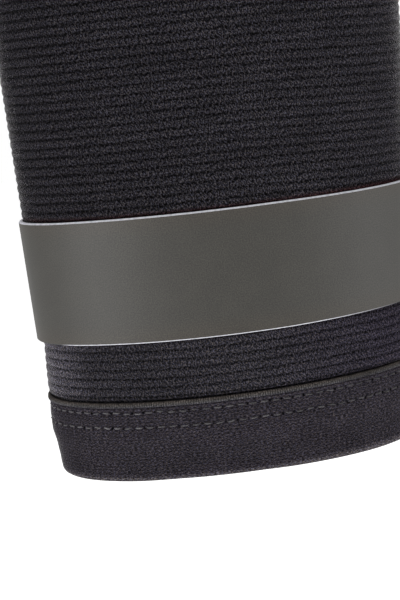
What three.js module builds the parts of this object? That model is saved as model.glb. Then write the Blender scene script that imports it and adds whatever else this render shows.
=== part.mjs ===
// Knee support: an open knitted sleeve with a smooth band near its calf end and a folded hem at each end.
// Millimetres, +Z up along the leg, calf end down. The origin is on the leg's axis at half the length.
// Each piece is a ring round the leg: a closed profile is turned about the axis, then pressed to an oval.
// Radii are those of the round section, and heights count up from the calf end.
import * as THREE from "three";

// Driving dimensions
const SLEEVE_LENGTH = 280;
const CALF_SPREAD = 9.9; // half of what the oval is wider than deep, at the calf end
const THIGH_SPREAD = 11.7;
const SIDES_ROUND = 28;
const CLEARANCE = 0.3;

const KNIT_WALL = 2.4;
const GRIPPED_WALL = 1.6;
const RIB_PITCH = 2.58;
const RIB_DEPTH = 0.55;

const BAND_BOTTOM = 40.8;
const BAND_HEIGHT = 35;
const BAND_WALL = 1.2;
const BAND_CHAMFER = 0.5;
const BAND_BOTTOM_RADIUS = 47.75;
const BAND_TOP_RADIUS = 48.7;
const BAND_OVERHANG = 1.2; // plain knit left between the last rib and the band's lower edge

const HEM_HEIGHT = 23.8;
const HEM_GRIP = 9.2;
const HEM_INNER_STEP = 1;
const CALF_LIP_RADIUS = 46.4;
const THIGH_LIP_RADIUS = 52.05;
const TAPE_WALL = 1.1;
const LIP_HEIGHT = 1.7;
const LIP_PROUD = 0.15;
const LIP_GROOVE = 0.25;
const FOLD_STEPS = 4;

// Radius over the rib crests: the knit swells over the calf hem, is drawn in below the band, and above
// it widens evenly towards the thigh.
const KNIT_OUTLINE = [
  { height: 25, crest: 46.9 },
  { height: 28, crest: 46.5 },
  { height: 33, crest: 46 },
  { height: 40, crest: 45.7 },
  { height: 76, crest: 47.55 },
  { height: 256, crest: 52.55 },
];

// How far the hem's outer face lies inside the radius of its lip, at depths from the fold: fullest over
// the end of the gripped knit, thinner towards the fold.
const HEM_OUTLINE = [
  { depth: 5, inset: 1.35 },
  { depth: 9.3, inset: 0.9 },
  { depth: 12.6, inset: 0.1 },
  { depth: 16, inset: -0.45 },
];

const BAND_TOP = BAND_BOTTOM + BAND_HEIGHT;
const HEM_SLOT_BOTTOM = HEM_HEIGHT - HEM_GRIP;
const THIGH_HEM_EDGE = SLEEVE_LENGTH - HEM_HEIGHT;

const ribbedKnit = new THREE.MeshStandardMaterial({ color: "#2b2a2e", roughness: 0.95, metalness: 0 });
const satinSheet = new THREE.MeshStandardMaterial({ color: "#595853", roughness: 0.5, metalness: 0 });
const jerseyTape = new THREE.MeshStandardMaterial({ color: "#302e32", roughness: 0.95, metalness: 0 });

function point(radius, height) {
  return new THREE.Vector2(radius, height);
}

// Radius over the rib crests at a height, straight between the outline's rows.
function crestAt(height) {
  const above = KNIT_OUTLINE.findIndex((row) => row.height >= height);
  if (above === 0) {
    return KNIT_OUTLINE[0].crest;
  }
  const low = KNIT_OUTLINE[above - 1];
  const high = KNIT_OUTLINE[above];
  return THREE.MathUtils.mapLinear(height, low.height, high.height, low.crest, high.crest);
}

// Turns a closed profile about the leg's axis and presses the round section to the sleeve's oval.
function ovalRing(name, profile, material) {
  const geometry = new THREE.LatheGeometry([...profile, profile[0]], SIDES_ROUND);
  geometry.rotateX(Math.PI / 2);
  const place = geometry.getAttribute("position");
  for (let i = 0; i < place.count; i++) {
    const radius = Math.hypot(place.getX(i), place.getY(i));
    const spread = THREE.MathUtils.lerp(CALF_SPREAD, THIGH_SPREAD, place.getZ(i) / SLEEVE_LENGTH);
    place.setX(i, place.getX(i) * (1 + spread / radius));
    place.setY(i, place.getY(i) * (1 - spread / radius));
  }
  geometry.translate(0, 0, -SLEEVE_LENGTH / 2);
  geometry.computeVertexNormals();
  const mesh = new THREE.Mesh(geometry, material);
  mesh.name = name;
  return mesh;
}

// Rib after rib from one groove up to another, a groove and a crest for each.
function ribs(from, to) {
  const count = Math.round((to - from) / RIB_PITCH);
  const pitch = (to - from) / count;
  const points = [];
  for (let i = 0; i < count; i++) {
    const groove = from + i * pitch;
    const crest = groove + pitch / 2;
    points.push(point(crestAt(groove) - RIB_DEPTH, groove));
    points.push(point(crestAt(crest), crest));
  }
  points.push(point(crestAt(to) - RIB_DEPTH, to));
  return points;
}

// The knit: gripped thin in each hem, ribbed where it shows, and pressed flat under the band.
function knitSleeve() {
  const calfGrip = CALF_LIP_RADIUS - TAPE_WALL - CLEARANCE;
  const thighGrip = THIGH_LIP_RADIUS - TAPE_WALL - CLEARANCE;
  const gripEnd = HEM_SLOT_BOTTOM + CLEARANCE;
  const hemClear = HEM_HEIGHT + CLEARANCE;
  const lowRibsTop = BAND_BOTTOM - BAND_OVERHANG;
  const highRibsBottom = BAND_TOP + CLEARANCE;
  const underBandLow = BAND_BOTTOM_RADIUS - BAND_WALL - CLEARANCE;
  const underBandHigh = BAND_TOP_RADIUS - BAND_WALL - CLEARANCE;
  const flatWall = KNIT_WALL - RIB_DEPTH;
  const outside = [
    point(calfGrip, gripEnd),
    point(calfGrip, HEM_HEIGHT),
    ...ribs(hemClear, lowRibsTop),
    point(underBandLow, BAND_BOTTOM + CLEARANCE),
    point(underBandHigh, BAND_TOP - CLEARANCE),
    ...ribs(highRibsBottom, SLEEVE_LENGTH - hemClear),
    point(thighGrip, THIGH_HEM_EDGE),
    point(thighGrip, SLEEVE_LENGTH - gripEnd),
  ];
  const inside = [
    point(thighGrip - GRIPPED_WALL, SLEEVE_LENGTH - gripEnd),
    point(thighGrip - GRIPPED_WALL, THIGH_HEM_EDGE),
    point(crestAt(THIGH_HEM_EDGE - RIB_PITCH) - KNIT_WALL, THIGH_HEM_EDGE - RIB_PITCH),
    point(crestAt(highRibsBottom) - KNIT_WALL, highRibsBottom),
    point(underBandHigh - flatWall, BAND_TOP - RIB_PITCH),
    point(underBandLow - flatWall, BAND_BOTTOM + RIB_PITCH),
    point(crestAt(lowRibsTop) - KNIT_WALL, lowRibsTop - RIB_PITCH),
    point(crestAt(hemClear) - KNIT_WALL, hemClear + RIB_PITCH),
    point(calfGrip - GRIPPED_WALL, HEM_HEIGHT),
    point(calfGrip - GRIPPED_WALL, gripEnd),
  ];
  return ovalRing("knit_sleeve", [...outside, ...inside], ribbedKnit);
}

// The band: one even sheet round the sleeve, with its outer corners cut back.
function smoothBand() {
  const profile = [
    point(BAND_BOTTOM_RADIUS - BAND_CHAMFER, BAND_BOTTOM),
    point(BAND_BOTTOM_RADIUS, BAND_BOTTOM + BAND_CHAMFER),
    point(BAND_TOP_RADIUS, BAND_TOP - BAND_CHAMFER),
    point(BAND_TOP_RADIUS - BAND_CHAMFER, BAND_TOP),
    point(BAND_TOP_RADIUS - BAND_WALL, BAND_TOP),
    point(BAND_BOTTOM_RADIUS - BAND_WALL, BAND_BOTTOM),
  ];
  return ovalRing("smooth_band", profile, satinSheet);
}

// A hem's profile, at depths from its fold: tape folded over the knit's end, with a lip on its outer edge.
function hemProfile(lipRadius) {
  const slotOuter = lipRadius - TAPE_WALL;
  const slotInner = slotOuter - GRIPPED_WALL - 2 * CLEARANCE;
  const innerFace = slotInner - TAPE_WALL;
  const foldOuter = lipRadius - HEM_OUTLINE[0].inset;
  const foldRadius = (foldOuter - innerFace) / 2;
  const fold = [];
  for (let i = 0; i <= FOLD_STEPS; i++) {
    const turn = (Math.PI * i) / FOLD_STEPS;
    fold.push(point(innerFace + foldRadius * (1 - Math.cos(turn)), foldRadius * (1 - Math.sin(turn))));
  }
  const lipBottom = HEM_HEIGHT - LIP_HEIGHT;
  const lipBevel = LIP_HEIGHT / 4;
  return [
    ...fold,
    ...HEM_OUTLINE.map((row) => point(lipRadius - row.inset, row.depth)),
    point(lipRadius, lipBottom - LIP_GROOVE),
    point(lipRadius - LIP_GROOVE, lipBottom),
    point(lipRadius + LIP_PROUD, lipBottom + lipBevel),
    point(lipRadius + LIP_PROUD, HEM_HEIGHT - lipBevel),
    point(lipRadius - LIP_GROOVE, HEM_HEIGHT),
    point(slotOuter, HEM_HEIGHT),
    point(slotOuter, HEM_SLOT_BOTTOM),
    point(slotInner, HEM_SLOT_BOTTOM),
    point(slotInner, HEM_HEIGHT - HEM_INNER_STEP),
    point(innerFace, HEM_HEIGHT - HEM_INNER_STEP),
  ];
}

function lowerHem() {
  return ovalRing("lower_hem", hemProfile(CALF_LIP_RADIUS), jerseyTape);
}

// The same tape at the thigh end, turned over so that its fold is at the top.
function upperHem() {
  const turned = hemProfile(THIGH_LIP_RADIUS).map((corner) => point(corner.x, SLEEVE_LENGTH - corner.y));
  return ovalRing("upper_hem", turned.reverse(), jerseyTape);
}

const kneeSupport = new THREE.Group();
kneeSupport.add(knitSleeve(), smoothBand(), lowerHem(), upperHem());

export default kneeSupport;
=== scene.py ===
import math

import bpy
import numpy as np
from mathutils import Euler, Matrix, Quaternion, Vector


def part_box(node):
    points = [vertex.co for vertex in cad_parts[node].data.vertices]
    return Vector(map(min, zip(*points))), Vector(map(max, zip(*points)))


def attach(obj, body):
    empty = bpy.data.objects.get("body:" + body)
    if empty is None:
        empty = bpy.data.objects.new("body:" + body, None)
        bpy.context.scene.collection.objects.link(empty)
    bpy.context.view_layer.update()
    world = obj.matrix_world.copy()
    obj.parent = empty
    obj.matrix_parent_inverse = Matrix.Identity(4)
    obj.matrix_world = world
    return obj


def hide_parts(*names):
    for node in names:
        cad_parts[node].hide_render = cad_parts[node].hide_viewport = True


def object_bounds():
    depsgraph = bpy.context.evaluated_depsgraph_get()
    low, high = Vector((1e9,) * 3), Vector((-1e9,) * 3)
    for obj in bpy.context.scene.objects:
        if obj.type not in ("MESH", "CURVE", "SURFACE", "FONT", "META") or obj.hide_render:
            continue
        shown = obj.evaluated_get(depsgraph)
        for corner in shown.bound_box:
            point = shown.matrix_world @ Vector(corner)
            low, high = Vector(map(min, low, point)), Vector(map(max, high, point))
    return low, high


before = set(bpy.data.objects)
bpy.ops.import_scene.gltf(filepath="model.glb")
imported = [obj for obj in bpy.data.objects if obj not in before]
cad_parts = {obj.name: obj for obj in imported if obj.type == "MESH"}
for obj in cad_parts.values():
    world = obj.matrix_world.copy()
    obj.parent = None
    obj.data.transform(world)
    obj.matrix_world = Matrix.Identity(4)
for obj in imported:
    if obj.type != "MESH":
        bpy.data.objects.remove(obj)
cad_low, cad_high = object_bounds()


# Knit sleeve
# The real piece is an elastic tube of nylon and rubber yarn, knitted in the round so that its raised ribs run
# round the leg. It is one wall about 2.4 mm thick, gripped thin inside the hems and pressed flat by the band.
MM = 0.001
CALF_SPREAD = 9.9 * MM  # half of what the oval is wider than deep, at the calf end
THIGH_SPREAD = 11.7 * MM
OVAL_STEPS = 720  # straight steps in which the oval's girth is measured
FIRST_NUDGE = 1e-6  # of a turn, so that a ring's first points never count as its last
MERGE_GAP = 0.01 * MM
CLEARANCE = 0.3 * MM
KNIT_WALL = 2.4 * MM
GRIPPED_WALL = 1.6 * MM
KNIT_GIRTH = 305 * MM
KNIT_SIDES = 184
INSIDE_STEP = 8 * MM  # between the rings of points on the plain inside
# Height above the calf end and radius over the rib crests, both in millimetres
KNIT_OUTLINE = ((25, 46.4), (28, 46.4), (33, 46.2), (40, 45.9), (76, 47.55), (256, 52.55))
TAPE_WALL = 1.1 * MM
CALF_LIP_RADIUS = 46.4 * MM
THIGH_LIP_RADIUS = 52.05 * MM
BAND_WALL = 1.2 * MM
BAND_BOTTOM_RADIUS = 47.75 * MM
BAND_TOP_RADIUS = 48.7 * MM

RIB_PITCH = 2.58 * MM
RIB_DEPTH = 0.26 * MM
RIB_PHASES = (0.0, 0.1, 0.24, 0.44, 0.66, 0.88)  # rings of points over one rib, from its groove
GROOVE_SHARPNESS = 2.0  # power that narrows the grooves between the rounder crests
RIB_START = 0.1 * MM  # from the band's upper edge to the first groove above it
LAST_GROOVE = 0.82 * MM  # from the last groove below the band to the band's lower edge
SEAM_GAP = 0.9 * MM  # bare knit at the thigh hem, and from the band's edges to the flat knit under it
SEAM_DEPTH = 0.9 * MM  # from the crests down to the knit at the band's upper edge
HEM_EDGE_DIP = 0.5 * MM  # how far the lip lies back from the plain solid's edge
HEM_CREVICE = 0.3 * MM  # from the calf hem's lip to the deepest of the crevice over it
HEM_LEDGE = 0.75 * MM  # from the calf hem's lip to the ledge of knit between that and the first groove
LEDGE_DEPTH = 0.17 * MM
HEM_SEAM = 1.2 * MM  # from the calf hem's lip to the first groove above it

KNIT_SEED = 7
RIB_WAVES = (11, 19, 31, 47)  # waves round the leg, of which the straying of the ribs is made up
WAVE_TWIST = (2, 4)  # least and most that a wave turns from one rib to the next, in radians
RIB_WANDER = 0.12 * MM  # how far a rib strays up and down on its way round
RIB_SWELL = 0.04 * MM
RIGHT_DRIFT = 2.1 * MM  # how far the ribs above the band run down at the sleeve's right side
DRIFT_MIDDLE = 0.7  # share of a turn from the middle of the back, where they run down most
DRIFT_REACH = 0.22  # share of a turn to either side of that
DRIFT_HEIGHTS = (35 * MM, 75 * MM)  # above the band, between which the drift dies away
# Share across the sleeve, from -1 at its left side, and the rise of the ribs below the band, in millimetres
SLACK_LEAN = ((-0.7, 0.5), (-0.3, 0.1), (0.1, 0), (0.3, 0.1), (0.55, 0), (0.72, -0.5))

calf_hem_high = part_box("lower_hem")[1]
thigh_hem_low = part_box("upper_hem")[0]
band_low, band_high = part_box("smooth_band")
knit_low, knit_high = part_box("knit_sleeve")
calf_end = cad_low.z
thigh_end = cad_high.z
calf_edge = calf_hem_high.z - HEM_EDGE_DIP
thigh_edge = thigh_hem_low.z + HEM_EDGE_DIP


def spread_at(height):
    """Half of what the oval is wider than deep."""
    return np.interp(height, (calf_end, thigh_end), (CALF_SPREAD, THIGH_SPREAD))


def crest_at(height):
    """Radius over the rib crests."""
    rows = np.array(KNIT_OUTLINE) * MM
    return np.interp(height, rows[:, 0] + calf_end, rows[:, 1])


def spun_ring(name, profile, sides):
    """Draws a closed profile of (radius, height) points behind the leg's axis and turns it round the leg."""
    bpy.ops.object.select_all(action="DESELECT")
    bpy.ops.mesh.primitive_plane_add(size=MM)
    ring = bpy.context.object
    ring.name = name
    ring.data.name = name
    bpy.ops.object.mode_set(mode="EDIT")
    bpy.ops.mesh.select_mode(type="VERT")
    bpy.ops.mesh.select_all(action="SELECT")
    bpy.ops.mesh.merge(type="CENTER")
    bpy.ops.transform.translate(value=(0, *profile[0]))
    for start, end in zip(profile, profile[1:] + profile[:1]):
        step = (0, end[0] - start[0], end[1] - start[1])
        bpy.ops.mesh.extrude_vertices_move(TRANSFORM_OT_translate={"value": step})
    bpy.ops.mesh.select_all(action="SELECT")
    bpy.ops.mesh.remove_doubles(threshold=MERGE_GAP)
    bpy.ops.object.mode_set(mode="OBJECT")
    turned = ring.modifiers.new("turned", "SCREW")
    turned.axis = "Z"
    turned.steps = sides
    turned.render_steps = sides
    turned.use_merge_vertices = True
    turned.merge_threshold = MERGE_GAP
    bpy.ops.object.modifier_apply(modifier="turned")
    bpy.ops.object.mode_set(mode="EDIT")
    bpy.ops.mesh.select_all(action="SELECT")
    bpy.ops.mesh.normals_make_consistent(inside=False)
    bpy.ops.object.mode_set(mode="OBJECT")
    bpy.ops.object.shade_smooth()
    return ring


def even_turns(share):
    """The angle of the oval at a share of its girth, counted from the middle of the back."""
    turn = np.linspace(0, 2 * math.pi, OVAL_STEPS + 1) + math.pi / 2
    middle = (calf_end + thigh_end) / 2
    wide = crest_at(middle) + spread_at(middle)
    deep = crest_at(middle) - spread_at(middle)
    steps = np.hypot(np.diff(wide * np.cos(turn)), np.diff(deep * np.sin(turn)))
    run = np.concatenate(([0], np.cumsum(steps)))
    return np.interp(share, run / run[-1], turn)


def round_places(mesh):
    """A ring's points as the share of a turn from the middle of the back, the radius and the height."""
    place = np.empty(len(mesh.vertices) * 3)
    mesh.vertices.foreach_get("co", place)
    across, back, height = place.reshape(-1, 3).T
    share = (np.arctan2(back, across) / (2 * math.pi) - 0.25 + FIRST_NUDGE) % 1
    return share, np.hypot(across, back), height.copy()


def mark_points(mesh, name, values):
    """Keeps a number on each point, for the material."""
    mark = mesh.attributes.new(name, "FLOAT", "POINT")
    mark.data.foreach_set("value", values.astype(np.float32))


def press_oval(ring, girth, shaped):
    """Moves a round ring's points to the sleeve's oval, evenly spaced round it, after shaped(share, radius,
    height) has moved them, and unrolls the ring into a UV map in metres, a girth wide."""
    mesh = ring.data
    share, radius, rolled_height = round_places(mesh)
    radius, height = shaped(share, radius, rolled_height)
    turn = even_turns(share)
    spread = spread_at(height)
    oval = np.stack(((radius + spread) * np.cos(turn), (radius - spread) * np.sin(turn), height), axis=1)
    mesh.vertices.foreach_set("co", oval.ravel())
    corner = np.empty(len(mesh.loops), dtype=int)
    mesh.loops.foreach_get("vertex_index", corner)
    first = np.empty(len(mesh.polygons), dtype=int)
    mesh.polygons.foreach_get("loop_start", first)
    across = share[corner]
    farthest = np.repeat(np.maximum.reduceat(across, first), np.diff(np.append(first, len(corner))))
    across = np.where(across < farthest - 0.5, across + 1, across)
    chart = mesh.uv_layers.new(name="unrolled")
    chart.uv.foreach_set("vector", np.stack((across * girth, rolled_height[corner]), axis=1).ravel())
    mesh.update()


def rib_rows(foot, head):
    """Profile points of the ribs from one groove up to another, as near their pitch as whole ribs allow."""
    count = round((head - foot) / RIB_PITCH)
    pitch = (head - foot) / count
    points = []
    for rib in range(count):
        for phase in RIB_PHASES:
            height = foot + (rib + phase) * pitch
            groove = (0.5 + 0.5 * math.cos(2 * math.pi * phase)) ** GROOVE_SHARPNESS
            points.append((crest_at(height) - RIB_DEPTH * groove, height))
    points.append((crest_at(head) - RIB_DEPTH, head))
    return points


def knit_profile():
    """The tube's wall as (radius, height) points, up its outside and down its inside."""
    calf_grip = CALF_LIP_RADIUS - TAPE_WALL - CLEARANCE
    thigh_grip = THIGH_LIP_RADIUS - TAPE_WALL - CLEARANCE
    under_low = BAND_BOTTOM_RADIUS - BAND_WALL - CLEARANCE
    under_high = BAND_TOP_RADIUS - BAND_WALL - CLEARANCE
    outside = [
        (calf_grip, knit_low.z),
        (calf_grip, calf_edge + HEM_CREVICE),
        (crest_at(calf_edge + HEM_LEDGE) - LEDGE_DEPTH, calf_edge + HEM_LEDGE),
        *rib_rows(calf_edge + HEM_SEAM, band_low.z - LAST_GROOVE),
        (under_low, band_low.z + SEAM_GAP),
        (under_high, band_high.z - SEAM_GAP),
        (crest_at(band_high.z) - SEAM_DEPTH, band_high.z - RIB_START),
        *rib_rows(band_high.z + RIB_START, thigh_edge - SEAM_GAP),
        (thigh_grip, thigh_edge - SEAM_GAP / 2),
        (thigh_grip, knit_high.z),
    ]
    inside = [(thigh_grip - GRIPPED_WALL, knit_high.z), (thigh_grip - GRIPPED_WALL, thigh_edge)]
    steps = round((thigh_edge - band_high.z) / INSIDE_STEP)
    for height in np.linspace(thigh_edge - RIB_PITCH, band_high.z, steps):
        inside.append((crest_at(height) - KNIT_WALL, height))
    flat_wall = KNIT_WALL - RIB_DEPTH
    inside += [
        (under_high - flat_wall, band_high.z - RIB_PITCH),
        (under_low - flat_wall, band_low.z + RIB_PITCH),
        (crest_at(band_low.z) - KNIT_WALL, band_low.z - RIB_PITCH),
        (crest_at(calf_edge) - KNIT_WALL, calf_edge + RIB_PITCH),
        (calf_grip - GRIPPED_WALL, calf_edge),
        (calf_grip - GRIPPED_WALL, knit_low.z),
    ]
    return outside + inside


def wander(share, radius, height):
    """Lets each rib stray a little up and down and swell and thin on its way round, as knitting does. The
    ribs above the band also run down towards the right, where they pass behind it, and those below it
    lean."""
    draw = np.random.default_rng(KNIT_SEED)
    outer = radius > crest_at(height) - KNIT_WALL / 2
    above = outer & (height > band_high.z - 2 * SEAM_GAP)
    below = outer & (height < band_low.z)
    bare = below | (outer & (height > band_high.z))
    stray = np.zeros(len(height))
    swell = np.zeros(len(height))
    for waves in RIB_WAVES:
        phase = draw.uniform(0, 2 * math.pi, 2)
        twist = draw.uniform(*WAVE_TWIST, 2)
        turned = 2 * math.pi * waves * share
        stray += np.sin(turned + phase[0] + twist[0] * height / RIB_PITCH) / len(RIB_WAVES)
        swell += np.sin(turned + phase[1] + twist[1] * height / RIB_PITCH) / len(RIB_WAVES)
    bend = 0.5 + 0.5 * np.cos(math.pi * np.clip((share - DRIFT_MIDDLE) / DRIFT_REACH, -1, 1))
    drift = bend * np.interp(height - band_high.z, DRIFT_HEIGHTS, (RIGHT_DRIFT, 0))
    lean = np.interp(np.cos(even_turns(share)), *np.transpose(SLACK_LEAN)) * MM
    lean *= np.interp(height - calf_edge, (HEM_CREVICE, HEM_SEAM), (0, 1))
    new_radius = radius + bare * RIB_SWELL * swell
    new_height = height + bare * RIB_WANDER * stray - above * drift + below * lean
    behind_band = above & (new_height < band_high.z)
    under_band = BAND_TOP_RADIUS - BAND_WALL - CLEARANCE
    return np.where(behind_band, np.minimum(new_radius, under_band), new_radius), new_height


SLACK_SHARPNESS = 1.7  # power that thins the grooves' dark lines of painted shade below the band
RED_EDGE_HEIGHT = 1.4 * MM  # above the band, over which the knit has painted shade tinted dark red
SIDE_GRADIENT_REACH = 50 * MM  # to either side of the middle, over which the cloth turns a little paler to the right
LEFT_RIM_SHEEN = 2.0  # by how many times its own tone the knit is painted paler at its left side, below the band
LEFT_RIM_START = 45 * MM  # from the middle to where that starts
LEFT_RIM_REACH = 56 * MM  # and to where it is full
GRAIN_ROUGHNESS = 0.6  # how strongly the finer grains of a pattern show against its coarser ones
LOOP_PITCH = 0.88  # of the knitted loops along a rib, in millimetres
PAIR_PITCH = 1.6
LOOP_LEAN = 14  # from upright, in degrees
LOOP_STRAY = 0.25  # as a share of the pitch


def groove_depths(mesh):
    """How deep each point lies in a groove: 0 on a crest and inside the tube, and 1 at a groove's bottom."""
    share, radius, height = round_places(mesh)
    relief = crest_at(height) - radius
    sharpness = np.where(height < band_low.z, SLACK_SHARPNESS, 1)
    return np.where(relief < KNIT_WALL - RIB_DEPTH, np.clip(relief / RIB_DEPTH, 0, 1) ** sharpness, 0)


def linear(hex_colour):
    """An sRGB hex colour as the linear colour that a shader takes."""
    parts = [int(hex_colour[i : i + 2], 16) / 255 for i in (1, 3, 5)]
    return tuple(p / 12.92 if p <= 0.04045 else ((p + 0.055) / 1.055) ** 2.4 for p in parts) + (1,)


def add_node(tree, kind, *inputs, stops=(), **settings):
    """Adds a node with its settings, and fills its inputs in the order in which it shows them: with a value,
    with a link where another node's output is given, or not at all for None. Stops of (place, hex colour) go
    to a colour ramp. The node's outputs are returned by name."""
    node = tree.nodes.new("ShaderNode" + kind)
    for name, value in settings.items():
        setattr(node, name, value)
    shown = [socket for socket in node.inputs if socket.enabled]
    for socket, value in zip(shown, inputs):
        if isinstance(value, bpy.types.NodeSocket):
            tree.links.new(value, socket)
        elif value is not None:
            socket.default_value = value
    while stops and len(node.color_ramp.elements) < len(stops):
        node.color_ramp.elements.new(0.5)
    for number, (place, colour) in enumerate(stops):
        node.color_ramp.elements[number].position = place
        node.color_ramp.elements[number].color = linear(colour)
    return {socket.name: socket for socket in node.outputs if socket.enabled}


def new_material(name):
    """A new material with its node tree and its shader."""
    made = bpy.data.materials.new(name)
    made.use_nodes = True
    return made, made.node_tree, made.node_tree.nodes["Principled BSDF"]


def body_place(tree):
    """Where a point is on the sleeve, as X across, Y back and Z up."""
    return add_node(tree, "SeparateXYZ", add_node(tree, "TexCoord")["Object"])


def unrolled_in(tree, across, along, lean):
    """The unrolled ring, counted in steps of a width and a height in millimetres and leaning by degrees."""
    chart = add_node(tree, "UVMap", uv_map="unrolled")["UV"]
    turned = (0, 0, math.radians(lean))
    step = (across * MM, along * MM, MM)
    return add_node(tree, "Mapping", chart, None, turned, step, vector_type="TEXTURE")["Vector"]


def grain(tree, across, along, lean=0, detail=2):
    """Uneven grains on the unrolled ring, of a width and a height in millimetres, leaning by degrees."""
    chart = unrolled_in(tree, across, along, lean)
    return add_node(tree, "TexNoise", chart, 1.0, detail, GRAIN_ROUGHNESS, noise_dimensions="2D")["Fac"]


def stripes(tree, pitch, lean, stray):
    """Stripes across the unrolled ring, from -1 to 1, a pitch apart in millimetres, leaning by degrees from
    upright and pushed about by grains, by a share of the pitch."""
    radian = pitch / (2 * math.pi)
    across = add_node(tree, "SeparateXYZ", unrolled_in(tree, radian, radian, lean))["X"]
    push = grain(tree, 2 * pitch, 2 * pitch, detail=1)
    pushed = add_node(tree, "Math", push, stray * 4 * math.pi, across, operation="MULTIPLY_ADD")["Value"]
    return add_node(tree, "Math", pushed, operation="SINE")["Value"]


def dyed_tint(tree):
    """The slight change from warm to cool between one dyed fibre and the next, drawn 0.45 mm wide, because
    finer would not show."""
    fibre = grain(tree, 0.45, 0.45, detail=1)
    return add_node(tree, "ValToRGB", fibre, stops=((0.35, "#f8f0e0"), (0.65, "#e0e6ff")))["Color"]


def finish_surface(tree, shader, colour, shades, height, relief, values):
    """Multiplies a colour by shades and links it to the shader, with a bump of some relief in millimetres,
    and sets the shader's other values."""
    for shade in shades:
        colour = add_node(tree, "Mix", 1.0, colour, shade, data_type="RGBA", blend_type="MULTIPLY")["Result"]
    bump = add_node(tree, "Bump", 1.0, relief * MM, None, height)["Normal"]
    tree.links.new(colour, shader.inputs["Base Color"])
    tree.links.new(bump, shader.inputs["Normal"])
    for name, value in values.items():
        shader.inputs[name].default_value = value


def ribbed_nylon_knit():
    """Nylon and rubber yarn, knitted: matt charcoal loops with a pale fuzz at glancing angles, with painted
    shade in nearly black dots along the grooves between the ribs, painted shade tinted dark red just above
    the band, painted shade to the left and painted light to the right, and a painted rim of sheen at the left
    below the band. The yarn's fibres are too fine to show, so they are drawn as grains about 0.3 mm wide."""
    made, tree, shader = new_material("ribbed_nylon_knit")
    place = body_place(tree)
    low = add_node(tree, "MapRange", place["Z"], band_low.z - MM, band_low.z, 1, 0)["Result"]

    # Fibres and specks, gathered into loops and pairs of loops, and evener in the slack knit below the band
    loops = stripes(tree, LOOP_PITCH, LOOP_LEAN, LOOP_STRAY)
    pairs = stripes(tree, PAIR_PITCH, LOOP_LEAN, LOOP_STRAY)
    fibres = grain(tree, 0.36, 0.66, lean=24, detail=1)
    specks = grain(tree, 0.27, 0.27, detail=1)
    yarn = add_node(tree, "Mix", 0.47, fibres, specks)["Result"]
    yarn = add_node(tree, "Math", loops, 0.018, yarn, operation="MULTIPLY_ADD")["Value"]
    yarn = add_node(tree, "Math", pairs, 0.022, yarn, operation="MULTIPLY_ADD")["Value"]
    face = add_node(tree, "ValToRGB", yarn,
                    stops=((0.35, "#020203"), (0.5, "#1b1a1d"), (0.65, "#535054")))["Color"]
    evened = add_node(tree, "MapRange", low, 0, 1, 0, 0.15)["Result"]
    face = add_node(tree, "Mix", evened, face, linear("#262528"), data_type="RGBA")["Result"]

    # Painted shade in dots between the loops along the grooves, which run together more at the left and below
    # the band
    dots = grain(tree, 0.7, 0.7, detail=1)
    dots = add_node(tree, "Math", loops, 0.14, dots, operation="MULTIPLY_ADD")["Value"]
    dots = add_node(tree, "Math", pairs, 0.18, dots, operation="MULTIPLY_ADD")["Value"]
    dots = add_node(tree, "MapRange", dots, 0.35, 0.7, 0.2, 1.0)["Result"]
    least = add_node(tree, "MapRange", place["X"], -SIDE_GRADIENT_REACH, -SIDE_GRADIENT_REACH / 3, 0.5, 0.2)["Result"]
    least = add_node(tree, "MapRange", low, 0, 1, least, 0.36)["Result"]
    dots = add_node(tree, "Math", dots, least, operation="MAXIMUM")["Value"]
    groove = add_node(tree, "Attribute", attribute_name="groove")["Fac"]
    groove = add_node(tree, "Math", groove, dots, operation="MULTIPLY")["Value"]
    groove = add_node(tree, "MapRange", groove, 0.18, 0.8, 1.0, 0.1)["Result"]

    # Paler below the band, painted shade to the left and painted light to the right, a mottle, a painted rim
    # of sheen at the left below the band, and a violet cast at the right below the band
    paler_below_band = add_node(tree, "MapRange", place["Z"], band_low.z, band_high.z, 1.36, 1.0)["Result"]
    # Painted shade towards the left and painted light towards the right
    side_gradient = add_node(tree, "MapRange", place["X"], -SIDE_GRADIENT_REACH, SIDE_GRADIENT_REACH, 0.84, 1.2)["Result"]
    wear = add_node(tree, "MapRange", grain(tree, 14, 9), 0.3, 0.7, 0.88, 1.12)["Result"]
    # A painted rim of sheen along the knit's left side, below the band
    fuzz = add_node(tree, "MapRange", place["X"], -LEFT_RIM_REACH, -LEFT_RIM_START, LEFT_RIM_SHEEN, 0)["Result"]
    fuzz = add_node(tree, "Math", fuzz, low, 1.0, operation="MULTIPLY_ADD")["Value"]
    violet = add_node(tree, "MapRange", place["X"], 0, SIDE_GRADIENT_REACH, 0, low)["Result"]
    cast = add_node(tree, "ValToRGB", violet, stops=((0.0, "#ffffff"), (1.0, "#f4ecff")))["Color"]

    # Painted shade tinted dark red along the band's upper edge, whose stops have that edge at their middle
    foot = band_high.z - RED_EDGE_HEIGHT
    rise = add_node(tree, "MapRange", place["Z"], foot, band_high.z + RED_EDGE_HEIGHT, 0, 1)["Result"]
    red_edge_shade = add_node(tree, "ValToRGB", rise, stops=(
        (0.4, "#ffffff"), (0.45, "#ff9c94"), (0.65, "#ffc8c2"), (1.0, "#ffffff")))["Color"]

    shades = (dyed_tint(tree), cast, red_edge_shade, groove, paler_below_band, wear, side_gradient, fuzz)
    finish_surface(tree, shader, face, shades, yarn, 0.2, {
        "Roughness": 0.95,
        "Specular IOR Level": 0.03,
        "Sheen Weight": 1.0,
        "Sheen Roughness": 0.14,
        "Sheen Tint": linear("#f4f2f2"),
    })
    return made


knit = spun_ring("knit_tube", knit_profile(), KNIT_SIDES)
mark_points(knit.data, "groove", groove_depths(knit.data))
press_oval(knit, KNIT_GIRTH, wander)
knit.data.materials.append(ribbed_nylon_knit())
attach(knit, "root")
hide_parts("knit_sleeve")


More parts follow.
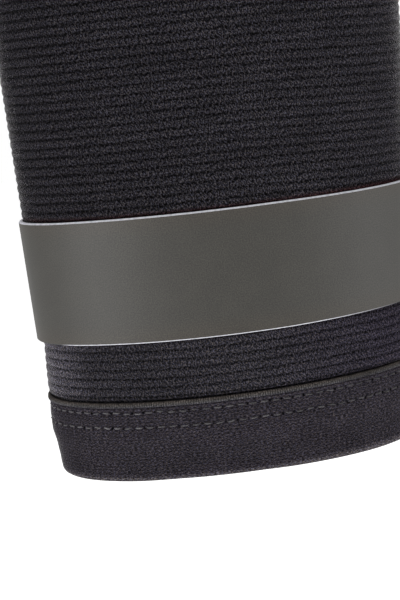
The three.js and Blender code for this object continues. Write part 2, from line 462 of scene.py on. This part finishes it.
# Smooth band
# The real piece is one strip of coated sheet about 1.2 mm thick, with a satin olive-grey face and a white
# core that shows along its bevelled cut edges. It is bonded flat round the sleeve above the calf hem.
BAND_GIRTH = 305 * MM
BAND_SIDES = 240
BAND_TOP_BEVEL = 0.38 * MM
BAND_BOTTOM_BEVEL = 0.28 * MM
BAND_LAP = 0.3 * MM  # how far the sheet hangs below the plain solid's lower edge
BAND_FACE_STEPS = 8
CUT_EDGE_SLOPE = 0.3  # upward or downward share of a face's normal, past which it is a cut edge
CREASE_ANGLE = math.radians(30)
LEFT_SINK = 0.3 * MM  # how far the strip lies lower at its left side than at its middle
RIGHT_NARROWING = 0.25 * MM  # how far each edge is drawn in at its right side
# Shares across the sleeve, from its middle towards a side, over which these two and the darkening of the
# lower cut edge grow to their full
SINK_REACH = (0.6, 1.0)
NARROWING_REACH = (0.2, 0.8)
LEFT_DARK_CUT_REACH = (0.85, 0.9)
RIGHT_DARK_CUT_REACH = (0.4, 0.8)


def band_profile():
    """The strip's section as (radius, height) points."""
    bottom = band_low.z - BAND_LAP
    profile = [
        (BAND_BOTTOM_RADIUS - BAND_WALL, bottom),
        (BAND_BOTTOM_RADIUS - BAND_BOTTOM_BEVEL, bottom),
    ]
    foot = bottom + BAND_BOTTOM_BEVEL
    head = band_high.z - BAND_TOP_BEVEL
    for rise in np.linspace(0, 1, BAND_FACE_STEPS):
        radius = BAND_BOTTOM_RADIUS + rise * (BAND_TOP_RADIUS - BAND_BOTTOM_RADIUS)
        profile.append((radius, foot + rise * (head - foot)))
    profile += [
        (BAND_TOP_RADIUS - BAND_TOP_BEVEL, band_high.z),
        (BAND_TOP_RADIUS - BAND_WALL, band_high.z),
    ]
    return profile


def settled(share, radius, height):
    """Lets the strip sink towards its left side and narrow towards its right, as it was bonded by hand."""
    sideways = np.cos(even_turns(share))
    rise = 2 * (height - band_low.z) / (band_high.z - band_low.z) - 1
    sink = LEFT_SINK * np.interp(-sideways, SINK_REACH, (0, 1)) ** 2
    narrowing = np.interp(sideways, NARROWING_REACH, (0, RIGHT_NARROWING))
    return radius, height - sink - narrowing * rise


def dark_cut_sides(mesh):
    """How far the lower cut edge is darkened: 1 at the sleeve's two sides, 0 along its front."""
    share, radius, height = round_places(mesh)
    sideways = np.cos(even_turns(share))
    left = np.interp(-sideways, LEFT_DARK_CUT_REACH, (0, 1))
    right = np.interp(sideways, RIGHT_DARK_CUT_REACH, (0, 1))
    return np.maximum(left, right) * (height < band_low.z + BAND_BOTTOM_BEVEL)


def satin_coated_sheet():
    """A smooth coating with a satin film: soft broad highlights, a faint mottle, a fine grit and a warmer
    tone along the edges, where the film is pressed thin. The grit is drawn 0.36 mm wide, because finer grit
    would not show."""
    made, tree, shader = new_material("satin_coated_sheet")
    mottle = grain(tree, 9, 9, detail=3)
    grit = grain(tree, 0.36, 0.36, detail=1)
    film = add_node(tree, "Mix", 0.85, mottle, grit)["Result"]
    face = add_node(tree, "ValToRGB", film, stops=((0.3, "#1e1c17"), (0.7, "#3b3932")))["Color"]
    rise = add_node(tree, "MapRange", body_place(tree)["Z"], band_low.z, band_high.z, 0, 1)["Result"]
    edge_tone = add_node(tree, "ValToRGB", rise, stops=(
        (0.0, "#fff0e6"), (0.16, "#edecec"), (0.84, "#edecec"), (1.0, "#fff0e6")))["Color"]
    values = {"Roughness": 0.56, "Specular IOR Level": 0.6}
    finish_surface(tree, shader, face, (edge_tone,), grit, 0.02, values)
    return made


def white_cut_core():
    """The sheet's own core, cut with a blade: white, matt and a little ragged, and dark on the lower cut edge
    at the sleeve's two sides."""
    made, tree, shader = new_material("white_cut_core")
    ragged = grain(tree, 1.4, 1.4, detail=3)
    face = add_node(tree, "ValToRGB", ragged, stops=((0.3, "#a6a6af"), (0.6, "#c8c8cf")))["Color"]
    dark_cut = add_node(tree, "Attribute", attribute_name="dark_cut")["Fac"]
    # Dark on the lower cut edge at the sleeve's two sides
    film = add_node(tree, "MapRange", dark_cut, 0, 1, 1, 0.05)["Result"]
    finish_surface(tree, shader, face, (film,), ragged, 0.05, {"Roughness": 0.8})
    return made


def give_cut_edges(ring):
    """Gives the second material to the faces that look up or down."""
    bpy.ops.object.select_all(action="DESELECT")
    bpy.context.view_layer.objects.active = ring
    ring.select_set(True)
    bpy.ops.object.mode_set(mode="EDIT")
    bpy.ops.mesh.select_mode(type="FACE")
    bpy.ops.mesh.select_all(action="DESELECT")
    bpy.ops.object.mode_set(mode="OBJECT")
    for face in ring.data.polygons:
        face.select = abs(face.normal.z) > CUT_EDGE_SLOPE
    bpy.ops.object.mode_set(mode="EDIT")
    ring.active_material_index = 1
    bpy.ops.object.material_slot_assign()
    bpy.ops.object.mode_set(mode="OBJECT")
    bpy.ops.object.shade_smooth_by_angle(angle=CREASE_ANGLE)


band = spun_ring("satin_band", band_profile(), BAND_SIDES)
mark_points(band.data, "dark_cut", dark_cut_sides(band.data))
press_oval(band, BAND_GIRTH, settled)
band.data.materials.append(satin_coated_sheet())
band.data.materials.append(white_cut_core())
give_cut_edges(band)
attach(band, "root")
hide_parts("smooth_band")


# Hem tapes
# Each real hem is a strip of brushed jersey tape about 1.1 mm thick. It is folded over the knit's raw end,
# grips it between its two layers, and is drawn in along the two rows of stitches that hold it.
HEM_HEIGHT = calf_edge - calf_end
HEM_GRIP = 8.7 * MM  # how far the knit's end reaches into the hem
HEM_SLOT_DEPTH = HEM_HEIGHT - HEM_GRIP
HEM_INNER_STEP = 1 * MM
HEM_FACE_STEP = 0.5 * MM
HOLLOW_DEPTHS = (9.3 * MM, 5 * MM)  # from the fold, where the outer layer bends behind its face
FOLD_STEPS = 8
LIP_HEIGHT = 1.35 * MM
STITCH_PITCH = 3.32 * MM
STITCH_ROWS = (2.95 * MM, 7.2 * MM)  # from the hem's edge towards its fold
SIDES_PER_STITCH = 6
HOLE_RADIUS = 0.42 * MM
HOLE_DENT = 0.3 * MM
ROW_DENT = 0.14 * MM
ROW_DENT_WIDTH = 0.9 * MM
# Depth from the fold and how far the outer face lies inside the lip's radius, both in millimetres
HEM_OUTLINE = ((0, 1.25), (5, 0.98), (9.3, 0.5), (12.6, -0.2), (16, -0.35), (22, 0))
# Share across the sleeve, from -1 at its left side, and how far the fold hangs there, in millimetres
FOLD_SAG = ((-0.9, 0.38), (-0.65, 0.2), (-0.45, -0.12), (0, -0.1), (0.15, 0.15), (0.65, 0.6))
FOLD_SHEEN = 3.0  # how many times as pale the tape is painted along its fold, a painted sheen
FOLD_SHEEN_HEIGHT = 2.0 * MM
JERSEY_ROW_PITCH = 1.0  # in millimetres
JERSEY_ROW_LEAN = 90  # from upright, in degrees, so that the rows lie level
JERSEY_ROW_STRAY = 0.1  # as a share of the pitch
HEMS = (
    # name, CAD node, radius of the lip, height of the fold, and 1 where the hem rises from its fold or -1
    # where it hangs from it
    ("calf_hem", "lower_hem", CALF_LIP_RADIUS, calf_end, 1),
    ("thigh_hem", "upper_hem", THIGH_LIP_RADIUS, thigh_end, -1),
)


def girth_at(radius, height):
    """Length round the oval, by the usual short rule for an ellipse."""
    wide = radius + spread_at(height)
    deep = radius - spread_at(height)
    return math.pi * (3 * (wide + deep) - math.sqrt((3 * wide + deep) * (wide + 3 * deep)))


def stitch_count(lip_radius, fold_height):
    """How many stitches a row has round its hem."""
    return round(girth_at(lip_radius, fold_height) / STITCH_PITCH)


def face_inset(depth):
    """How far the hem's outer face lies inside the lip's radius, at a depth from the fold."""
    rows = np.array(HEM_OUTLINE) * MM
    return np.interp(depth, rows[:, 0], rows[:, 1])


def tape_profile(lip_radius):
    """The folded tape as (radius, depth from the fold) points, without its lip."""
    slot_outer = lip_radius - TAPE_WALL
    slot_inner = slot_outer - GRIPPED_WALL - 2 * CLEARANCE
    inner_face = slot_inner - TAPE_WALL
    fold_radius = (lip_radius - face_inset(0) - inner_face) / 2
    profile = []
    for step in range(FOLD_STEPS + 1):
        turn = math.pi * step / FOLD_STEPS
        profile.append((inner_face + fold_radius * (1 - math.cos(turn)), fold_radius * (1 - math.sin(turn))))
    lip_foot = HEM_HEIGHT - LIP_HEIGHT
    for depth in np.arange(2 * fold_radius, lip_foot - HEM_FACE_STEP, HEM_FACE_STEP):
        profile.append((lip_radius - face_inset(depth), depth))
    profile += [
        (lip_radius - face_inset(lip_foot), lip_foot),
        (slot_outer, lip_foot),
        (slot_outer, HEM_SLOT_DEPTH),
        *((slot_outer - face_inset(depth), depth) for depth in HOLLOW_DEPTHS),
        (slot_outer - face_inset(0), fold_radius),
        (inner_face + fold_radius, TAPE_WALL),
        (slot_inner, fold_radius),
        (slot_inner, HEM_SLOT_DEPTH),
        (slot_inner, HEM_HEIGHT - HEM_INNER_STEP),
        (inner_face, HEM_HEIGHT - HEM_INNER_STEP),
    ]
    return profile


def sewn_dents(lip_radius, fold_height, stitches):
    """A function that draws the tape in along the stitch rows, deepest at the needle holes, and lets its fold
    hang."""

    def shaped(share, radius, height):
        depth = np.abs(height - fold_height)
        outer = radius > lip_radius - TAPE_WALL
        from_hole = ((share * stitches) % 1 - 0.5) * STITCH_PITCH
        draw_in = np.zeros(len(radius))
        for row in STITCH_ROWS:
            dip = np.exp(-(((depth - (HEM_HEIGHT - row)) / ROW_DENT_WIDTH) ** 2))
            draw_in += dip * (ROW_DENT + HOLE_DENT * np.exp(-((from_hole / (2 * HOLE_RADIUS)) ** 2)))
        sag = np.interp(np.cos(even_turns(share)), *np.transpose(FOLD_SAG)) * MM
        hang = sag * np.clip(1 - depth / HEM_HEIGHT, 0, 1) ** 2
        return radius - outer * draw_in, height + np.where(height < 0, -hang, hang)

    return shaped


def needle_holes(tree):
    """A mask of the holes along both rows, 1 in a hole, alike on either hem."""
    chart = add_node(tree, "SeparateXYZ", add_node(tree, "UVMap", uv_map="unrolled")["UV"])
    along = add_node(tree, "Math", chart["X"], STITCH_PITCH / 2, operation="ADD")["Value"]
    along = add_node(tree, "Math", along, STITCH_PITCH / 2, operation="PINGPONG")["Value"]
    height = add_node(tree, "Math", chart["Y"], operation="ABSOLUTE")["Value"]
    gaps = []
    for row in STITCH_ROWS:
        gap = add_node(tree, "Math", height, thigh_end - HEM_HEIGHT + row, operation="SUBTRACT")["Value"]
        gaps.append(add_node(tree, "Math", gap, operation="ABSOLUTE")["Value"])
    from_row = add_node(tree, "Math", *gaps, operation="MINIMUM")["Value"]
    square = add_node(tree, "Math", along, along, operation="MULTIPLY")["Value"]
    square = add_node(tree, "Math", from_row, from_row, square, operation="MULTIPLY_ADD")["Value"]
    away = add_node(tree, "Math", square, operation="SQRT")["Value"]
    return add_node(tree, "MapRange", away, 0.6 * HOLE_RADIUS, 1.3 * HOLE_RADIUS, 1, 0)["Result"]


def brushed_jersey_tape():
    """Fine jersey with a brushed face: soft charcoal rows under a short pale fuzz, painted shade in the
    needle holes and a painted sheen along the fold. Its fibres are too fine to show, so they are drawn as
    grains about
    0.2 mm high."""
    made, tree, shader = new_material("brushed_jersey_tape")
    place = body_place(tree)
    rows = stripes(tree, JERSEY_ROW_PITCH, JERSEY_ROW_LEAN, JERSEY_ROW_STRAY)
    fibres = grain(tree, 0.85, 0.2, detail=1)
    specks = grain(tree, 0.25, 0.22, detail=1)
    yarn = add_node(tree, "Mix", 0.35, fibres, specks)["Result"]
    yarn = add_node(tree, "Math", rows, 0.024, yarn, operation="MULTIPLY_ADD")["Value"]
    face = add_node(tree, "ValToRGB", yarn,
                    stops=((0.345, "#0b090b"), (0.5, "#221f23"), (0.665, "#4e4a50")))["Color"]
    # Painted shade in the needle holes, deeper in some than others
    depth = add_node(tree, "MapRange", grain(tree, 2, 2, detail=1), 0.4, 0.6, 0.5, 1.0)["Result"]
    holes = add_node(tree, "Math", needle_holes(tree), depth, operation="MULTIPLY")["Value"]
    holes = add_node(tree, "MapRange", holes, 0, 1, 1, 0.02)["Result"]
    # Paler towards the right
    side_gradient = add_node(tree, "MapRange", place["X"], -SIDE_GRADIENT_REACH, SIDE_GRADIENT_REACH, 0.95, 1.15)["Result"]
    wear = add_node(tree, "MapRange", grain(tree, 12, 5), 0.3, 0.7, 0.85, 1.15)["Result"]
    up = add_node(tree, "Math", place["Z"], operation="ABSOLUTE")["Value"]
    # Paler towards the lip and darker towards the fold
    tone_by_place = add_node(tree, "MapRange", up, thigh_end - HEM_HEIGHT, thigh_end, 1.22, 0.9)["Result"]
    # A painted sheen along the fold, paler and a little warmer
    sheen_foot = thigh_end - FOLD_SHEEN_HEIGHT
    sheen_head = thigh_end - FOLD_SHEEN_HEIGHT / 4
    fold = add_node(tree, "MapRange", up, sheen_foot, sheen_head, 0, 1)["Result"]
    painted_fold_sheen = add_node(tree, "MapRange", fold, 0, 1, 1, FOLD_SHEEN)["Result"]
    fold_sheen_tint = add_node(tree, "ValToRGB", fold, stops=((0.0, "#ffffff"), (1.0, "#fcfff0")))["Color"]
    shades = (fold_sheen_tint, dyed_tint(tree), holes, wear, side_gradient, tone_by_place, painted_fold_sheen)
    finish_surface(tree, shader, face, shades, yarn, 0.15, {
        "Roughness": 0.95,
        "Specular IOR Level": 0.06,
        "Sheen Weight": 0.8,
        "Sheen Roughness": 0.14,
        "Sheen Tint": linear("#f4f2f2"),
    })
    return made


jersey = brushed_jersey_tape()
for name, node, lip_radius, fold_height, up in HEMS:
    stitches = stitch_count(lip_radius, fold_height)
    profile = [(radius, fold_height + up * depth) for radius, depth in tape_profile(lip_radius)]
    tape = spun_ring(name + "_tape", profile, stitches * SIDES_PER_STITCH)
    press_oval(tape, stitches * STITCH_PITCH, sewn_dents(lip_radius, fold_height, stitches))
    tape.data.materials.append(jersey)
    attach(tape, "root")
    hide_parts(node)


# Hem lips
# The outer edge of each real tape is finished with a corded lip: a bead of thicker yarn about 1.4 mm high,
# with fine upright ribs, that is worked along the edge in one with the tape.
LIP_PROUD = 0.35 * MM
LIP_LIFT = 0.02 * MM  # between the lip's foot and the tape under it
LIP_RIB_PITCH = 0.7 * MM
LIP_RIB_HEIGHT = 0.09 * MM
SIDES_PER_LIP_RIB = 4
LIP_SIDE_GRADIENT_REACH = 30 * MM  # to the right of the middle, over which the lip turns a little darker


def lip_profile(lip_radius):
    """The lip's bead as (radius, depth from the fold) points, rounded at its outer corners."""
    foot = HEM_HEIGHT - LIP_HEIGHT + LIP_LIFT
    outer = lip_radius + LIP_PROUD
    round_off = LIP_HEIGHT / 5
    return [
        (lip_radius - TAPE_WALL, foot),
        (outer - round_off / 2, foot),
        (outer, foot + round_off),
        (outer, HEM_HEIGHT - 2 * round_off),
        (outer - round_off / 3, HEM_HEIGHT - round_off / 2),
        (outer - round_off, HEM_HEIGHT),
        (lip_radius - TAPE_WALL, HEM_HEIGHT),
    ]


def lip_ribs(lip_radius, ribs):
    """A function that raises the fine upright ribs of the lip."""

    def shaped(share, radius, height):
        outer = radius > lip_radius - TAPE_WALL / 2
        return radius + outer * LIP_RIB_HEIGHT * np.cos(2 * math.pi * ribs * share), height

    return shaped


def rib_valleys(mesh, ribs):
    """How deep each point lies between the lip's ribs: 0 on a rib and 1 midway between two."""
    share, radius, height = round_places(mesh)
    return 0.5 - 0.5 * np.cos(2 * math.pi * ribs * share)


def ribbed_lip_yarn():
    """Corded edge yarn: a warm olive along its upper edge, greyer towards the tape, and painted shade between
    its fine ribs. Its fibres are drawn about 0.3 mm wide, because finer ones would not show."""
    made, tree, shader = new_material("ribbed_lip_yarn")
    place = body_place(tree)
    fibre = grain(tree, 0.34, 0.5)
    face = add_node(tree, "ValToRGB", fibre, stops=((0.34, "#1e1e1f"), (0.66, "#605e60")))["Color"]
    up = add_node(tree, "Math", place["Z"], operation="ABSOLUTE")["Value"]
    edge = thigh_end - HEM_HEIGHT
    sunk = add_node(tree, "MapRange", up, edge, edge + LIP_HEIGHT, 0, 1)["Result"]
    tone = add_node(tree, "ValToRGB", sunk,
                    stops=((0.15, "#fff0e0"), (0.5, "#fffaf2"), (0.9, "#f6f6ff")))["Color"]
    wear = add_node(tree, "MapRange", grain(tree, 9, 4), 0.35, 0.65, 0.78, 1.05)["Result"]
    # Darker towards the right
    side_gradient = add_node(tree, "MapRange", place["X"], 0, LIP_SIDE_GRADIENT_REACH, 1.0, 0.85)["Result"]
    # Painted shade between the fine ribs
    valley = add_node(tree, "Attribute", attribute_name="valley")["Fac"]
    valley = add_node(tree, "MapRange", valley, 0.2, 1.0, 1.0, 0.3)["Result"]
    values = {"Roughness": 0.85, "Specular IOR Level": 0.2}
    finish_surface(tree, shader, face, (tone, valley, wear, side_gradient), fibre, 0.08, values)
    return made


lip_yarn = ribbed_lip_yarn()
for name, node, lip_radius, fold_height, up in HEMS:
    ribs = round(girth_at(lip_radius, fold_height) / LIP_RIB_PITCH)
    profile = [(radius, fold_height + up * depth) for radius, depth in lip_profile(lip_radius)]
    lip = spun_ring(name + "_lip", profile, ribs * SIDES_PER_LIP_RIB)
    mark_points(lip.data, "valley", rib_valleys(lip.data, ribs))
    press_oval(lip, stitch_count(lip_radius, fold_height) * STITCH_PITCH, lip_ribs(lip_radius, ribs))
    lip.data.materials.append(lip_yarn)
    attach(lip, "root")


# Stitches
# Two rows of machine stitches in twisted polyester thread hold each real hem, through both layers of tape.
# Each stitch lies on the tape from one needle hole to the next and dives into both.
STITCH_THICKNESS = 0.24 * MM
STITCH_SIDES = 6
# Place along one stitch, share of the thickness and lift above the tape, from hole to hole, in millimetres
STITCH_SECTIONS = ((-1.1, 0.5, -0.45), (-0.85, 0.85, -0.06), (-0.4, 1.0, 0.08), (0.4, 1.0, 0.08),
                   (0.85, 0.85, -0.06), (1.1, 0.5, -0.45))
STITCH_SINK = 0.2 * MM  # most that a stitch is pulled into the tape
STITCH_STRAY = 0.1 * MM  # usual distance of a stitch from the line of its row
STITCH_SLANT = 0.09  # usual rise of a stitch for its length
THREAD_RANGE = (0.75, 1.1)  # least and most of the thickness
WORN_RANGE = (0.5, 1.25)  # darkest and palest, as shares of the thread's own tone
# Share of a turn from the middle of the back, and how pale the thread is there: a painted highlight at the
# left front, darker at the right
STITCH_PAINTED_LIGHT = ((0.24, 1), (0.29, 1.5), (0.36, 1.5), (0.42, 1), (0.56, 1), (0.63, 0.45), (0.75, 0.45),
               (0.82, 1))


def stitch_row(radius, height, stitches):
    """A row of stitches: one behind the leg, bowed out of the tape and diving into the holes at its ends,
    repeated round the leg."""
    bpy.ops.object.select_all(action="DESELECT")
    bpy.ops.mesh.primitive_circle_add(vertices=STITCH_SIDES, radius=STITCH_THICKNESS, fill_type="NGON",
                                      rotation=(0, math.pi / 2, 0))
    row = bpy.context.object
    bpy.ops.object.transform_apply(location=True, rotation=True, scale=True)
    bpy.ops.object.mode_set(mode="EDIT")
    bpy.ops.mesh.select_all(action="SELECT")
    along, thickness, lift = STITCH_SECTIONS[0]
    bpy.ops.transform.resize(value=(1, thickness, thickness))
    bpy.ops.transform.translate(value=(along * MM, radius + lift * MM, height))
    for last, section in zip(STITCH_SECTIONS, STITCH_SECTIONS[1:]):
        step = ((section[0] - last[0]) * MM, (section[2] - last[2]) * MM, 0)
        bpy.ops.mesh.extrude_region_move(TRANSFORM_OT_translate={"value": step})
        grow = section[1] / last[1]
        middle = (section[0] * MM, radius + section[2] * MM, height)
        bpy.ops.transform.resize(value=(1, grow, grow), center_override=middle)
    bpy.ops.mesh.select_all(action="SELECT")
    bpy.ops.mesh.normals_make_consistent(inside=False)
    bpy.ops.object.mode_set(mode="OBJECT")
    bpy.ops.object.shade_smooth()
    bpy.ops.object.empty_add(rotation=(0, 0, 2 * math.pi / stitches))
    step_round = bpy.context.object
    bpy.ops.object.select_all(action="DESELECT")
    bpy.context.view_layer.objects.active = row
    row.select_set(True)
    repeat = row.modifiers.new("repeat", "ARRAY")
    repeat.count = stitches
    repeat.use_relative_offset = False
    repeat.use_object_offset = True
    repeat.offset_object = step_round
    bpy.ops.object.modifier_apply(modifier="repeat")
    bpy.data.objects.remove(step_round)
    return row


def uneven_stitches(mesh, radius, height, stitches, seed):
    """A function that sets each stitch a little off its neighbours in depth, height, slant and thickness. It
    also marks each one's tone, which varies at random and has a painted highlight at the left front."""
    draw = np.random.default_rng(seed)
    lift = draw.uniform(-STITCH_SINK, 0, stitches)
    rise = draw.normal(0, STITCH_STRAY, stitches)
    slant = draw.normal(0, STITCH_SLANT, stitches)
    thick = draw.uniform(*THREAD_RANGE, stitches)
    tone_by_place = np.interp(np.arange(stitches) / stitches, *np.transpose(STITCH_PAINTED_LIGHT))
    worn_and_painted_light = draw.uniform(*WORN_RANGE, stitches) * tone_by_place

    def shaped(share, point_radius, point_height):
        place = share * stitches + 0.5
        number = np.floor(place).astype(int) % stitches
        along = (place % 1 - 0.5) * STITCH_PITCH
        mark_points(mesh, "worn_and_painted_light", worn_and_painted_light[number])
        new_radius = radius + (point_radius - radius) * thick[number] + lift[number]
        new_height = height + (point_height - height) * thick[number] + rise[number] + slant[number] * along
        return new_radius, new_height

    return shaped


def polyester_thread():
    """Twisted polyester thread: dark grey, with a soft gloss on its turns. The twist is drawn 0.5 mm long, as
    finer would not show."""
    made, tree, shader = new_material("polyester_thread")
    twist = grain(tree, 0.5, 0.3, lean=30)
    face = add_node(tree, "ValToRGB", twist, stops=((0.3, "#2a292b"), (0.7, "#504e50")))["Color"]
    # Varied at random, with a painted highlight at the left front and darker at the right
    worn_and_painted_light = add_node(tree, "Attribute", attribute_name="worn_and_painted_light")["Fac"]
    finish_surface(tree, shader, face, (worn_and_painted_light,), twist, 0.08, {"Roughness": 0.5, "Specular IOR Level": 0.4})
    return made


thread = polyester_thread()
for name, node, lip_radius, fold_height, up in HEMS:
    stitches = stitch_count(lip_radius, fold_height)
    for number, below_edge in enumerate(STITCH_ROWS, start=1):
        depth = HEM_HEIGHT - below_edge
        row_radius = float(lip_radius - face_inset(depth) - ROW_DENT)
        row_height = fold_height + up * depth
        row = stitch_row(row_radius, row_height, stitches)
        row.name = f"{name}_stitches_{number}"
        row.data.name = row.name
        shaped = uneven_stitches(row.data, row_radius, row_height, stitches, number)
        press_oval(row, stitches * STITCH_PITCH, shaped)
        row.data.materials.append(thread)
        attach(row, "root")


# Floor, light and camera
# A plain white floor lies well below the sleeve, which is held up as on a leg, in soft light from all round.
# The camera is close in, a little to the left, looks slightly down and leans with the photograph.
FLOOR_SIZE = 12
FLOOR_DROP = 0.35
bpy.ops.object.select_all(action="DESELECT")
bpy.ops.mesh.primitive_plane_add(size=FLOOR_SIZE, location=(0, 0, calf_end - FLOOR_DROP))
floor = bpy.context.object
floor.name = "floor"
paper, tree, shader = new_material("white_paper")
shader.inputs["Base Color"].default_value = linear("#f6f6f6")
shader.inputs["Roughness"].default_value = 0.9
shader.inputs["Emission Color"].default_value = linear("#ffffff")
shader.inputs["Emission Strength"].default_value = 0.8
floor.data.materials.append(paper)

# The room is brightest behind the sleeve, which lights its rims. The camera sees plain white.
world = bpy.data.worlds.new("white_room")
bpy.context.scene.world = world
world.use_nodes = True
tree = world.node_tree
room = tree.nodes["Background"]
room.inputs["Color"].default_value = linear("#ffffff")
backwards = add_node(tree, "SeparateXYZ", add_node(tree, "TexCoord")["Generated"])["Y"]
brightness = add_node(tree, "MapRange", backwards, 0.8, 0.97, 0.25, 0.8)["Result"]
tree.links.new(brightness, room.inputs["Strength"])
backdrop = add_node(tree, "Background", linear("#ffffff"), 1.0)["Background"]
seen = add_node(tree, "LightPath")["Is Camera Ray"]
both = add_node(tree, "MixShader", seen, room.outputs["Background"], backdrop)["Shader"]
tree.links.new(both, tree.nodes["World Output"].inputs["Surface"])

SOFTBOXES = (
    # name, place, size across, watts
    ("left_softbox", (-1.0, -0.66, 0.0), 0.5, 7.4),
    ("right_softbox", (1.08, -0.52, 0.0), 0.7, 4.4),
    ("top_softbox", (0.0, -0.3, 1.3), 0.9, 8),
    ("back_softbox", (0.0, 0.95, 0.85), 0.9, 6),
)
for name, place, across, watts in SOFTBOXES:
    bpy.ops.object.light_add(type="AREA", location=place)
    lamp = bpy.context.object
    lamp.name = name
    lamp.data.size = across
    lamp.data.energy = watts
    towards = -lamp.location
    lamp.rotation_euler = towards.to_track_quat("-Z", "Y").to_euler()

CAMERA_PLACE = (-74.3 * MM, -480.9 * MM, -17.9 * MM)
CAMERA_TURN = math.radians(-7.80)
CAMERA_DOWN = math.radians(8.97)
CAMERA_LEAN = math.radians(-6.28)
CAMERA_LENS = 98.6
SENSOR_WIDTH = 36
bpy.ops.object.camera_add(location=CAMERA_PLACE)
camera = bpy.context.object
aim = Euler((math.pi / 2 - CAMERA_DOWN, 0, CAMERA_TURN)).to_quaternion()
camera.rotation_mode = "QUATERNION"
camera.rotation_quaternion = aim @ Quaternion((0, 0, 1), CAMERA_LEAN)
camera.data.lens = CAMERA_LENS
camera.data.sensor_width = SENSOR_WIDTH
bpy.context.scene.camera = camera
bpy.context.scene.view_settings.view_transform = "Standard"
